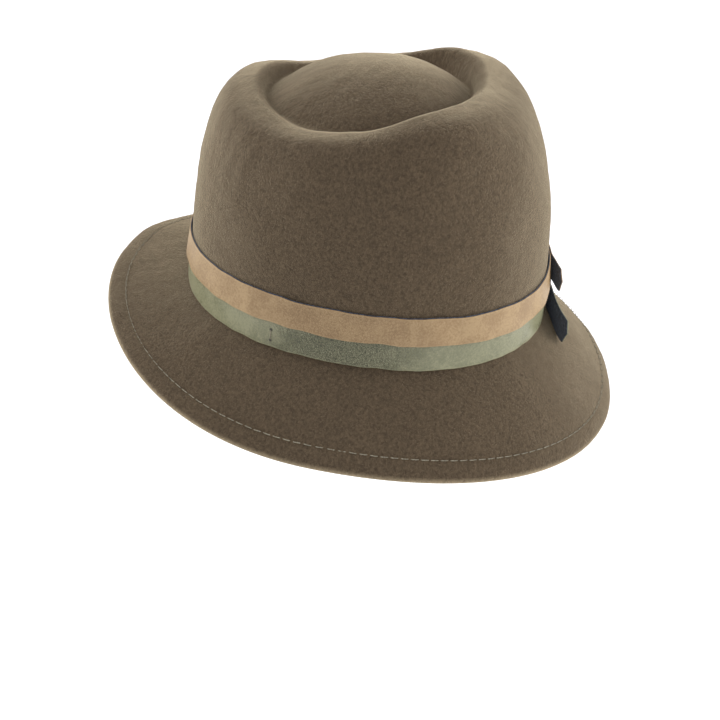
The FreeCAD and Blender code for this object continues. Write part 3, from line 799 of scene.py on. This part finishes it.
def build_band(strip, name, look, slot, back_look):
    width = strip[1] - strip[0]
    travel = np.linspace(0, TURN, BAND_STATIONS)
    length = travel * (HALF_WIDTH + HALF_LENGTH) / 2 * MM
    for part, start, thickness, wide, material, its_slot in (
            ("backing", 0.0, STRIP_BACKING, width, back_look, "backing"),
            ("face", FACE_START, STRIP_FACE, width - STRIP_EDGE_LINE, look, slot)):
        section = rounded_section(wide, thickness, thickness * 0.42, across=10)
        up = section[None, :, 0]
        if strip is TAN and part == "face":
            cut_back = FACE_CUT_BACK * sag_share(LAP_START - travel)
            up = up + cut_back[:, None] * (1 - up / wide)
        points = strip_point(strip, travel[:, None], up, start + section[None, :, 1])
        mesh_piece(f"{name}_strip_{part}", points.reshape(-1, 3),
                   sweep_faces(BAND_STATIONS, len(section), False), material,
                   replaces=[f"{name}_band_{part}"], uv=sweep_uv(length, section, wide))


# tails: (length, flare, droop, sag of the edge, curl outwards at the end, cup across)
TAN_TAIL = (15.6, math.radians(12.0), math.radians(7.0), 0.5, 0.8, 0.5)
OLIVE_TAIL = (34.5, math.radians(12.5), math.radians(14.5), 2.8, 1.6, 0.7)
TAIL_POINT, TAIL_POINT_DOWN, TAIL_TIP_BACK, TAIL_CLIP = 5.0, 6.2, 2.4, 0.8
TAIL_BEND, CUP_START, SAG_END = 7.0, 10.0, 1.3


def tail_point(strip, tail, run, down, out):
    """Point of a tail: run 0 at the end of the lap to 1 at the tip, distance below its top."""
    low, high, drop, clear_low, clear_high = strip
    length, flare, droop, sag, curl, cup = tail
    width = high - low
    end_low = crown_point(LAP_END, low - drop, clear_low + LAP_RISE)
    end_high = crown_point(LAP_END, high - drop, clear_high + LAP_RISE)
    up = unit(end_high - end_low)
    away = outward(LAP_END)
    side = np.array([away[1], -away[0], 0])
    hinge = end_high + away * STRIP_THICKNESS + side * TAIL_GAP
    along = (side * math.cos(flare) + away * math.sin(flare)) * math.cos(droop)
    along = along - np.array([0, 0, math.sin(droop)])
    normal = unit(np.cross(up, along))
    below = np.cross(normal, along)
    skew = (up @ along) / (up @ below)
    first = skew * down - TAIL_GAP
    last = np.interp(down, (0, TAIL_POINT_DOWN, width - TAIL_CLIP, width),
                     (length, length + TAIL_POINT, length + TAIL_TIP_BACK,
                      length + TAIL_TIP_BACK - 2 * TAIL_CLIP))
    reach = (last - first) * run
    along_strip = (strip_point(strip, TURN, width - down, out)
                   + side * reach[..., None])
    far = reach / (length + TAIL_POINT)
    bow = cup * ((2 * down / width - 1) ** 2 - 0.4) * smooth(reach / CUP_START)
    off = out - STRIP_THICKNESS + curl * far ** 2 + bow
    drop_of_edge = sag * np.sin(math.pi * np.clip(far, 0, 1)) ** SAG_END
    along_tail = (hinge + along * (first + reach)[..., None]
                  + below * (down + drop_of_edge)[..., None] + normal * off[..., None])
    share = smooth(reach / TAIL_BEND)[..., None]
    return along_strip * (1 - share) + along_tail * share, reach, last - first


def tail_lines(width, thickness):
    """Places down and along a tail where its mesh lines run, close together at the edges."""
    edge = thickness * np.array([0, 0.06, 0.2, 0.45])
    inner = np.concatenate([np.linspace(thickness, TAIL_POINT_DOWN, 8),
                            np.linspace(TAIL_POINT_DOWN, width - TAIL_CLIP, 11)[1:]])
    down = np.unique(np.concatenate([edge, inner, width - edge]).round(4))
    run = np.concatenate([np.linspace(0, 0.965, 60), [0.975, 0.985, 0.992, 0.997, 1.0]])
    return down, run


def build_tail(strip, name, tail, look, slot, back_look):
    width = strip[1] - strip[0]
    for part, start, thickness, top, material, its_slot in (
            ("backing", 0.0, STRIP_BACKING, 0.0, back_look, "backing"),
            ("face", FACE_START, STRIP_FACE, STRIP_EDGE_LINE, look, slot)):
        down, run = tail_lines(width, thickness)
        down = top + down * (width - top) / width
        run, down = np.meshgrid(run, down, indexing="ij")
        _, reach, full = tail_point(strip, tail, run, down, np.zeros_like(run))
        to_edge = np.minimum(np.minimum(down - top, width - down), full - reach)
        radius = thickness / 2
        bulge = np.sqrt(1 - (1 - np.clip(to_edge / radius, 0, 1)) ** 2)
        layers = [tail_point(strip, tail, run, down, start + radius * (1 + sign * bulge))[0]
                  for sign in (1, -1)]
        rows, columns = run.shape
        vertices = np.concatenate([layer.reshape(-1, 3) for layer in layers])
        count = rows * columns
        faces = two_layer_faces(rows, columns)
        faces += [(k + 1, k, count + k, count + k + 1) for k in range(columns - 1)]
        uv = np.stack([TURN * (HALF_WIDTH + HALF_LENGTH) / 2 * MM + reach * MM,
                       1 - down / width], axis=-1).reshape(-1, 2)
        mesh = mesh_piece(f"{name}_{part}_piece", vertices, faces, material, body=None,
                          replaces=[f"{name}_{part}"], uv=np.concatenate([uv, uv]), weld=True)
        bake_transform(mesh)


# ---- Threads

PLY_SIDES = 6


def twisted_threads(name, paths, first_across, material, replaces, twist=2.4, radius=THREAD / 2):
    """Two-ply threads along paths[thread, point]. first_across is a direction off each path."""
    along = unit(np.gradient(paths, axis=1))
    across = unit(np.cross(along, first_across))
    off = np.cross(across, along)
    threads, count = paths.shape[:2]
    travel = np.concatenate([np.zeros((threads, 1)), np.cumsum(np.linalg.norm(
        np.diff(paths, axis=1), axis=2), axis=1)], axis=1)
    lead = random.uniform(0, 2 * math.pi, (threads, 1))
    vertices, faces = [], []
    ring = ring_turns(PLY_SIDES)
    for ply in (0.0, math.pi):
        turn = twist * travel + lead + ply
        core = paths + (across * np.cos(turn)[..., None] + off * np.sin(turn)[..., None]) * (
            radius * 0.5)
        skin = (core[:, :, None] + across[:, :, None] * (np.cos(ring) * radius * 0.6)[:, None]
                + off[:, :, None] * (np.sin(ring) * radius * 0.6)[:, None])
        start = len(vertices) * threads * count * PLY_SIDES
        vertices.append(skin.reshape(-1, 3))
        for thread in range(threads):
            faces += sweep_faces(count, PLY_SIDES, False, start + thread * count * PLY_SIDES)
    return mesh_piece(name, np.concatenate(vertices), faces, material,
                      replaces=replaces)


def stitch_paths(place, angles, length, raised, sunk, points=9):
    """Arched threads: place(angle) gives centre, along and up for arrays of angles."""
    centre, along, up = place(angles)
    share = np.linspace(-1, 1, points)
    jitter = random.uniform(-0.12, 0.12, (len(angles), 1))
    lean = random.uniform(-0.08, 0.08, (len(angles), 1))
    height = raised + jitter * raised - (raised + sunk) * np.abs(share) ** 4
    side = np.cross(up, along)
    paths = (centre[:, None] + along[:, None] * (share * length / 2)[None, :, None]
             + up[:, None] * height[..., None] + side[:, None] * (lean * share)[..., None])
    return paths, up[:, None] * np.ones((1, points, 1))


HEM_STITCHES = 162
HEM_STITCH = 3.5
# how far a stitch stands up in its middle, and how deep its ends go
HEM_TOP_ARCH, HEM_UNDER_ARCH = (0.2, 0.9), (0.3, 0.7)
TACK_RISE, TACK_LENGTH, TACK_SPREAD = 0.32, 3.0, 0.5 * np.array([1.0, 0.3, 0])
LAP_TACKS = ((OLIVE, 3.2), (OLIVE, 10.6), (TAN, 19.0), (TAN, 26.6))
HEM_STEP = 0.01


def hem_place(angles, depth):
    inset = np.full_like(angles, SEAM_INSET)
    centre = brim_felt_point(angles, inset, depth)
    along = unit(brim_felt_point(angles + HEM_STEP, inset, depth) - centre)
    out = unit(brim_felt_point(angles, inset - THREAD, depth) - centre)
    up = unit(np.cross(out, along)) * -1
    return centre, along, up


def build_hem_threads(look):
    angles = ring_turns(HEM_STITCHES)
    paths, up = stitch_paths(lambda a: hem_place(a, 0.0), angles, HEM_STITCH, *HEM_TOP_ARCH)
    twisted_threads("hem_needle_thread", paths, up, look, ["hem_top_thread"])
    under = 2 * FELT + FOLD_GAP - SEAM_DEPTH * 0.4

    def below(a):
        centre, along, up = hem_place(a, under)
        return centre, along, -up

    paths, up = stitch_paths(below, angles, HEM_STITCH, *HEM_UNDER_ARCH)
    twisted_threads("hem_under_thread", paths, up, look, ["hem_bobbin_thread"])


def tack_ends():
    """Where the temple tack goes through the olive strip, in metres."""
    return [crown_point(TEMPLE_TACK_ANGLE, height, STRIP_CLEARANCE + STRIP_THICKNESS) * MM
            for height in TEMPLE_TACK_SPAN]


def tack_path(strip, angle, low, high, turns=0.0, points=14):
    share = np.linspace(-1, 1, points)
    travel = (LAP_START - angle + turns) * np.ones(points)
    up = low + (high - low) * (share + 1) / 2 - strip[0] + strip[2] * lap_share(travel)
    base = strip_point(strip, travel, up, STRIP_THICKNESS)
    return base + outward(angle) * (TACK_RISE - np.abs(share) ** 7)[:, None]


def build_tacks(look):
    temple = tack_path(OLIVE, TEMPLE_TACK_ANGLE - 2 * math.pi, *TEMPLE_TACK_SPAN)
    off = np.broadcast_to(outward(TEMPLE_TACK_ANGLE), temple.shape)
    twisted_threads("temple_tack", temple[None], off[None], look, ["band_tack_stitch"])
    paths = []
    for strip, height in LAP_TACKS:
        path = tack_path(strip, LAP_TACK_ANGLE, height, height + TACK_LENGTH, 2 * math.pi)
        paths += [path - TACK_SPREAD, path + TACK_SPREAD]
    off = np.broadcast_to(outward(LAP_TACK_ANGLE), np.array(paths).shape)
    twisted_threads("lap_tacks", np.array(paths), off, look, ["lap_tack_stitches"])


# ---- Inside of the hat

SWEAT_STATIONS = 360
SWEAT_STITCHES = 112
BOW_HALF, BOW_DEPTH, BOW_RIBBON, BOW_WIDTH, BOW_CURVE = 17.0, 3.2, 0.6, 9.0, 72.0
BOW_HEIGHT, BOW_GAP = 11.0, 1.1
BOW_STATIONS, BOW_END_ROUND, BOW_SIDE_ROUND = 120, 0.8, 0.6
BOW_PINCH_REACH, BOW_PINCHED, BOW_GATHERED = 7.0, 0.35, 0.8
BOW_CREASE, BOW_CREASES = 0.1, 2.2
KNOT_HALF, KNOT_GAP = 2.4, 0.15
KNOT_STATIONS, KNOT_DEPTH_ROUND, KNOT_HEIGHT_ROUND = 72, 0.5, 0.35
KNOT_DEPTH_SHARE, KNOT_HEIGHT_SHARE = 0.42, 0.41
KNOT_RIB, KNOT_RIBS = 0.08, 3.9
LABEL_ANGLE = math.radians(66.0)
LABEL_WIDTH, LABEL_HEIGHT = 18.0, 24.0
LABEL_BELOW_TOP, LABEL_GAP = 1.5, 1.8
LABEL_THICK, LABEL_FOLD_THICK, LABEL_FOLD = 0.16, 0.2, 3.6
LABEL_CURL, LABEL_RIPPLE, LABEL_TOP_OFF = 0.9, 0.12, 0.4
SEAM_ABOVE_EDGE, SWEAT_STITCH, SWEAT_ARCH = 2.0, 3.6, (0.26, 0.4)
SWEAT_LOOSE, SWEAT_LOOSE_WAVE = 0.12, 0.1


def build_sweatband(look, thread_look):
    low, high, gap, thickness = SWEATBAND
    back = -(FELT + gap)
    angle = ring_turns(SWEAT_STATIONS)
    section = rounded_section(high - low, thickness, thickness * 0.45, across=8)
    edge = crown_point(angle, high, back)
    loose = SWEAT_LOOSE + SWEAT_LOOSE_WAVE * waves(edge, STRIP_WAVES)
    wave = np.maximum(loose, 0)[:, None] * (section[None, :, 0] / (high - low)) ** 2
    points = crown_point(angle[:, None], low + section[None, :, 0],
                         back - thickness + section[None, :, 1] - wave)
    length = angle * (HALF_WIDTH + HALF_LENGTH) / 2 * MM
    mesh_piece("sweatband_ribbon", points.reshape(-1, 3),
               sweep_faces(SWEAT_STATIONS, len(section), True), look,
               replaces=["sweatband"], uv=sweep_uv(length, section, high - low))

    def seam(a):
        height = low + SEAM_ABOVE_EDGE
        centre = crown_point(a, height, back - thickness)
        along = unit(crown_point(a + HEM_STEP, height, back - thickness) - centre)
        return centre, along, -outward(a)

    angles = ring_turns(SWEAT_STITCHES)
    paths, up = stitch_paths(seam, angles, SWEAT_STITCH, *SWEAT_ARCH)
    twisted_threads("sweatband_seam", paths, up, thread_look, ["sweatband_thread"])


def bow_frame():
    """Corner of the bow and its directions: along the sweatband, into the hat, up."""
    quarter = math.pi / 2
    inner = -(FELT + SWEATBAND[2] + SWEATBAND[3] + BOW_GAP)
    corner = crown_point(quarter, BOW_HEIGHT, inner)
    up = unit(crown_point(quarter, BOW_HEIGHT + BOW_WIDTH, 0.0)
              - crown_point(quarter, BOW_HEIGHT, 0.0))
    x_axis = np.array([-1.0, 0, 0])
    return corner, x_axis, np.cross(up, x_axis), up


def build_bow(look):
    corner, x_axis, inward, up = bow_frame()
    turn = ring_turns(BOW_STATIONS)
    x = BOW_HALF * signed_power(np.cos(turn), BOW_END_ROUND)
    pinch = smooth(np.abs(x) / BOW_PINCH_REACH)
    half = (BOW_DEPTH - BOW_RIBBON) / 2 * (BOW_PINCHED + (1 - BOW_PINCHED) * pinch)
    depth = (BOW_DEPTH / 2 + half * signed_power(np.sin(turn), BOW_SIDE_ROUND)
             + x * x / (2 * BOW_CURVE))
    path = corner + x[:, None] * x_axis + depth[:, None] * inward
    along = unit(np.roll(path, -1, axis=0) - np.roll(path, 1, axis=0))
    across = np.cross(along, up)
    section = rounded_section(BOW_WIDTH, BOW_RIBBON, BOW_RIBBON * 0.45, across=5)
    gather = BOW_GATHERED + (1 - BOW_GATHERED) * pinch
    height = BOW_WIDTH / 2 + (section[None, :, 0] - BOW_WIDTH / 2) * gather[:, None]
    crease = BOW_CREASE * np.sin(section[None, :, 0] * BOW_CREASES) * (1 - pinch)[:, None]
    points = (path[:, None] + up * height[..., None]
              + across[:, None] * (section[None, :, 1] - BOW_RIBBON / 2 + crease)[..., None])
    mesh_piece("bow", points.reshape(-1, 3), sweep_faces(BOW_STATIONS, len(section), True), look,
               replaces=["sweatband_bow"],
               uv=sweep_uv(path_length(path), section, BOW_WIDTH))

    # the knot: a ring of ribbon round the gathered middle
    turn = ring_turns(KNOT_STATIONS)
    margin = KNOT_GAP + BOW_RIBBON / 2
    half_depth = BOW_DEPTH * KNOT_DEPTH_SHARE + margin
    half_height = BOW_WIDTH * KNOT_HEIGHT_SHARE + margin
    depth = BOW_DEPTH / 2 + half_depth * signed_power(np.cos(turn), KNOT_DEPTH_ROUND)
    height = BOW_WIDTH / 2 + half_height * signed_power(np.sin(turn), KNOT_HEIGHT_ROUND)
    path = corner + depth[:, None] * inward + height[:, None] * up
    along = unit(np.roll(path, -1, axis=0) - np.roll(path, 1, axis=0))
    across = np.cross(along, x_axis)
    section = rounded_section(2 * KNOT_HALF, BOW_RIBBON, BOW_RIBBON * 0.45, across=5)
    off = section[:, 1] - BOW_RIBBON / 2 + KNOT_RIB * np.cos(section[:, 0] * KNOT_RIBS)
    points = (path[:, None] + x_axis * (section[:, 0] - KNOT_HALF)[None, :, None]
              + across[:, None] * off[None, :, None])
    mesh_piece("bow_knot", points.reshape(-1, 3), sweep_faces(KNOT_STATIONS, len(section), True),
               look, replaces=["sweatband_bow_knot"],
               uv=sweep_uv(path_length(path), section, 2 * KNOT_HALF))


def build_label(look):
    """Blank woven label, folded over at the top and curling a little away from the band."""
    away = outward(LABEL_ANGLE)
    side = np.array([away[1], -away[0], 0])
    inner = -(FELT + SWEATBAND[2] + SWEATBAND[3] + LABEL_GAP)
    hinge = crown_point(LABEL_ANGLE, SWEATBAND[1] - LABEL_BELOW_TOP, inner)
    across = np.linspace(-LABEL_WIDTH / 2, LABEL_WIDTH / 2, 25)
    down = np.linspace(0, LABEL_HEIGHT, 33)
    down, across = np.meshgrid(down, across, indexing="ij")
    thickness = LABEL_THICK + LABEL_FOLD_THICK * (1 - smooth((down - LABEL_FOLD) / 0.5))
    ripple = LABEL_RIPPLE * np.sin(across * 0.5 + down * 0.21)
    curl = LABEL_CURL * (down / LABEL_HEIGHT) ** 2 + ripple
    flat = hinge + side * across[..., None] - np.array([0, 0, 1.0]) * down[..., None]
    layers = []
    for layer in (0, 1):
        off = LABEL_TOP_OFF - curl * smooth(down / 5) - thickness * layer
        layers.append(flat + away * off[..., None])
    rows, columns = down.shape
    count = rows * columns
    faces = two_layer_faces(rows, columns)
    rim = ([(0, c) for c in range(columns)] + [(r, columns - 1) for r in range(1, rows)]
           + [(rows - 1, c) for c in range(columns - 2, -1, -1)]
           + [(r, 0) for r in range(rows - 2, 0, -1)])
    rim = [r * columns + c for r, c in rim]
    faces += [(a, count + a, count + b, b) for a, b in zip(rim, rim[1:] + rim[:1])]
    uv = np.stack([across * MM, down / LABEL_HEIGHT], axis=-1).reshape(-1, 2)
    piece = mesh_piece("label", np.concatenate([layer.reshape(-1, 3) for layer in layers]), faces,
                       look, body="label", replaces=["care_label"],
                       uv=np.concatenate([uv, uv]))


def repaint(node, material):
    """Give a CAD node that stays in view its finish."""
    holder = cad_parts[node]
    if not holder.material_slots:
        holder.data.materials.append(material)
    for place in holder.material_slots:
        place.material = material


# ---- Camera, floor and light


FLOOR_HALF, FLOOR_DROP = 14.0, 1.3
MIDDLE_OF_HAT = (0, 0, 0.04)
LIGHTS = (("top_light", (0.5, 0.0, 1.5), 1.2, 2.5), ("back_light", (0.15, 1.4, 0.55), 1.0, 17),
          ("front_light", (0.15, -1.4, 0.55), 1.0, 18))


def add_camera():
    camera = bpy.data.cameras.new("camera")
    camera.lens = 48.365
    camera.sensor_width = 36
    camera.clip_start = 0.01
    view = bpy.data.objects.new("camera", camera)
    right = Vector((0.18570, -0.97929, 0.08061))
    up = Vector((0.56373, 0.17337, 0.80756))
    back = Vector((-0.80481, -0.10453, 0.58425))
    place = Vector((-481.1, -63.0, 292.5)) * MM
    view.matrix_world = Matrix((
        (right.x, up.x, back.x, place.x), (right.y, up.y, back.y, place.y),
        (right.z, up.z, back.z, place.z), (0, 0, 0, 1)))
    bpy.context.scene.collection.objects.link(view)
    bpy.context.scene.camera = view


def add_floor():
    shader = Shader("pale_floor")
    shader.set(Base_Color=(0.9, 0.9, 0.9, 1), Roughness=0.9, Specular_IOR_Level=0.1,
               Emission_Color=(1, 1, 1, 1), Emission_Strength=0.62)
    mesh = bpy.data.meshes.new("floor")
    half, level = FLOOR_HALF, cad_box[0][2] - FLOOR_DROP
    mesh.from_pydata([(-half, -half, level), (half, -half, level), (half, half, level),
                      (-half, half, level)], [], [(0, 1, 2, 3)])
    mesh.materials.append(shader.material)
    floor = bpy.data.objects.new("floor", mesh)
    bpy.context.scene.collection.objects.link(floor)


def add_light(name, place, size, power):
    """Square soft light aimed at the middle of the hat."""
    lamp = bpy.data.lights.new(name, "AREA")
    lamp.size = size
    lamp.energy = power
    light = bpy.data.objects.new(name, lamp)
    light.location = place
    aim = Vector(MIDDLE_OF_HAT) - Vector(place)
    light.rotation_euler = aim.to_track_quat("-Z", "Y").to_euler()
    bpy.context.scene.collection.objects.link(light)


def add_studio():
    world = bpy.data.worlds.new("studio")
    bpy.context.scene.world = world
    world.use_nodes = True
    world.node_tree.nodes["Background"].inputs["Color"].default_value = (0.97, 0.98, 1.04, 1)
    world.node_tree.nodes["Background"].inputs["Strength"].default_value = 0.7
    for light in LIGHTS:
        add_light(*light)
    bpy.context.scene.view_settings.view_transform = "Standard"


felt_look = felt_material()
tan_look = leatherette_material(
    "tan_leatherette", pale=rgb(170, 143, 104), deep=rgb(147, 119, 82), crease=rgb(98, 76, 52),
    gloss=0.42, crackle=0.4, worn_at=crown_point(math.radians(178), 24, 2) * MM)
olive_look = leatherette_material(
    "olive_leatherette", pale=rgb(148, 146, 115), deep=rgb(124, 124, 95), crease=rgb(48, 48, 34),
    gloss=0.24, crackle=0.9, worn_at=crown_point(math.radians(180), 8, 2) * MM,
    tack=tack_ends())
backing_look = backing_material()
ribbon_look = ribbon_material("grosgrain", rgb(58, 48, 40), rgb(88, 74, 62), 0.0007)
thread_look = thread_material("thread", rgb(120, 114, 96), rgb(172, 165, 142))

build_felt(felt_look)
for strip, name, look, slot in ((OLIVE, "olive", olive_look, "olive_leatherette"),
                                (TAN, "tan", tan_look, "tan_leatherette")):
    build_band(strip, name, look, slot, backing_look)
build_tail(OLIVE, "olive_tail", OLIVE_TAIL, olive_look, "olive_leatherette", backing_look)
build_tail(TAN, "tan_tail", TAN_TAIL, tan_look, "tan_leatherette", backing_look)
build_hem_threads(thread_look)
build_tacks(thread_look)
build_sweatband(ribbon_look, thread_look)
build_bow(ribbon_look)
build_label(label_material())
repaint("brim_wire", metal_material("drawn_steel", rgb(120, 120, 122), rgb(176, 176, 180), 0.3))
repaint("brim_wire_sleeve", metal_material("crimped_brass", rgb(150, 118, 60),
                                           rgb(206, 172, 104), 0.28))
add_camera()
add_floor()
add_studio()
